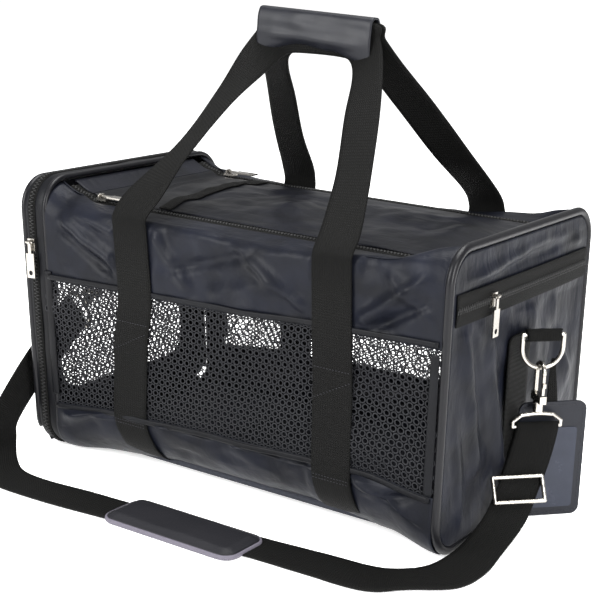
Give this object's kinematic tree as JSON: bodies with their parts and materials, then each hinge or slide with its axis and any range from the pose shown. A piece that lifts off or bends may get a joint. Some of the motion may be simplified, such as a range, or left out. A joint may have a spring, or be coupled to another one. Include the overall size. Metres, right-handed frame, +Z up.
{
  "type": "pet carrier bag",
  "caption": "Soft box-shaped pet carrier with mesh sides, a zipped end door, a zipped top flap, webbing carry handles with a grip wrap, an end pocket and a clip-on shoulder strap.",
  "frame": {"origin": "middle of the flat underside of the body, on the surface the bag stands on", "axes": "+X along the length towards the pocket end, -X towards the door end, -Y towards the front, +Z up"},
  "size_m": [0.5395, 0.38, 0.438],
  "materials": {
    "nylon": "thin coated nylon with a soft sheen",
    "webbing": "ribbed woven webbing, matt",
    "mesh": "knitted open mesh",
    "zip_tape": "woven tape with coil teeth",
    "piping": "smooth covered cord",
    "coated_cloth": "smooth coated cloth",
    "vinyl": "soft vinyl, satin",
    "padding": "foam under cloth",
    "board": "stiff board",
    "metal": "bright nickel plate"
  },
  "bodies": {
    "bag": {"bottom_panel": "nylon", "base_board": "board", "base_cushion": "padding", "front_lower_panel": "nylon", "front_mesh": "mesh", "front_upper_panel": "nylon", "back_lower_panel": "nylon", "back_mesh": "mesh", "back_upper_panel": "nylon", "top_margins": "nylon", "top_end_bands": "nylon", "top_zip_front": "zip_tape", "top_zip_back": "zip_tape", "door_gusset": "nylon", "door_zip": "zip_tape", "gusset_piping": "piping", "end_piping": "piping", "end_hoop_wire": "metal", "end_panel": "nylon", "pocket_panel": "nylon", "pocket_zip": "zip_tape", "end_ring_tab": "webbing", "end_ring": "metal", "end_hook": "metal", "end_strap_ring": "metal", "strap_adjuster": "metal", "strap_end_run": "webbing", "strap_door_floor": "webbing", "shoulder_pad": "padding", "side_webs": "webbing", "under_webs": "webbing"},
    "door": {"door_rim": "piping", "door_hoop_wire": "metal", "door_panel": "nylon", "door_mesh": "mesh", "door_ring_tab": "webbing", "door_ring": "metal", "door_hook": "metal", "door_strap_ring": "metal", "strap_door_run": "webbing"},
    "door_gate": {"door_hook_gate": "metal"},
    "end_gate": {"end_hook_gate": "metal"},
    "flap": {"top_flap": "nylon", "flap_window": "mesh", "flap_hem": "webbing"},
    "front_carry_handle": {"front_handle": "webbing", "grip_wrap_front": "coated_cloth"},
    "back_carry_handle": {"back_handle": "webbing", "grip_wrap_back": "coated_cloth"},
    "door_zip_slider": {"door_slider": "metal"},
    "front_zip_slider": {"front_slider": "metal"},
    "back_zip_slider": {"back_slider": "metal"},
    "pocket_zip_slider": {"pocket_slider": "metal"},
    "door_zip_pull": {"slider_pull_door": "metal"},
    "front_zip_pull": {"slider_pull_front": "metal"},
    "back_zip_pull": {"slider_pull_back": "metal"},
    "pocket_zip_pull": {"slider_pull_pocket": "metal"},
    "address_tag": {"id_tag": "vinyl", "id_tag_window": "vinyl", "id_tag_strap": "webbing"}
  },
  "joints": [
    {"name": "door_hinge", "type": "hinge", "parent": "bag", "child": "door", "pos_m": [-0.22594, 0, 0.00825], "axis": [0, -1, 0], "range_deg": [0, 65]},
    {"name": "front_handle_hinge", "type": "hinge", "parent": "bag", "child": "front_carry_handle", "pos_m": [0, -0.1364, 0.251], "axis": [1, 0, 0], "range_deg": [0, 140]},
    {"name": "back_handle_hinge", "type": "hinge", "parent": "bag", "child": "back_carry_handle", "pos_m": [0, 0.1364, 0.251], "axis": [-1, 0, 0], "range_deg": [0, 140]},
    {"name": "top_flap_hinge", "type": "hinge", "parent": "bag", "child": "flap", "pos_m": [0.2008, 0, 0.2502], "axis": [0, 1, 0], "range_deg": [0, 70]},
    {"name": "front_zip_travel", "type": "slide", "parent": "bag", "child": "front_zip_slider", "axis": [1, 0, 0], "range_m": [-0.006, 0.345]},
    {"name": "back_zip_travel", "type": "slide", "parent": "bag", "child": "back_zip_slider", "axis": [1, 0, 0], "range_m": [-0.006, 0.345]},
    {"name": "door_zip_travel", "type": "slide", "parent": "bag", "child": "door_zip_slider", "axis": [-0.0776, 0, 0.997], "range_m": [-0.16, 0.02]},
    {"name": "pocket_zip_travel", "type": "slide", "parent": "bag", "child": "pocket_zip_slider", "axis": [0, 1, 0], "range_m": [-0.05, 0.18]},
    {"name": "front_pull_hinge", "type": "hinge", "parent": "front_zip_slider", "child": "front_zip_pull", "pos_m": [-0.177, -0.1, 0.2557], "axis": [0, -1, 0], "range_deg": [0, 150]},
    {"name": "back_pull_hinge", "type": "hinge", "parent": "back_zip_slider", "child": "back_zip_pull", "pos_m": [-0.177, 0.1, 0.2557], "axis": [0, -1, 0], "range_deg": [0, 150]},
    {"name": "door_pull_hinge", "type": "hinge", "parent": "door_zip_slider", "child": "door_zip_pull", "pos_m": [-0.23316, -0.1408, 0.20799], "axis": [-0.997, 0, -0.0776], "range_deg": [0, 90]},
    {"name": "pocket_pull_hinge", "type": "hinge", "parent": "pocket_zip_slider", "child": "pocket_zip_pull", "pos_m": [0.2314, -0.066, 0.22], "axis": [0, -1, 0], "range_deg": [0, 90]},
    {"name": "end_gate_hinge", "type": "hinge", "parent": "bag", "child": "end_gate", "pos_m": [0.25174, -0.00635, 0.1236], "axis": [-0.6691, -0.7431, 0], "range_deg": [0, 20], "stiffness_Nm_per_rad": 0.02, "springref_deg": -22.92},
    {"name": "door_gate_hinge", "type": "hinge", "parent": "door", "child": "door_gate", "pos_m": [-0.2471, -0.02502, 0.13575], "axis": [-0.0651, -0.5446, 0.8361], "range_deg": [0, 20], "stiffness_Nm_per_rad": 0.02, "springref_deg": -22.92},
    {"name": "tag_hinge", "type": "hinge", "parent": "bag", "child": "address_tag", "pos_m": [0.25479, 0.00898, 0.15157], "axis": [0.7431, -0.6691, 0], "range_deg": [0, 40]}
  ],
  "couplings": [
    {"joint": "back_handle_hinge", "follows": "front_handle_hinge", "ratio": 1},
    {"joint": "top_flap_hinge", "follows": "front_handle_hinge", "ratio": 0.5}
  ]
}
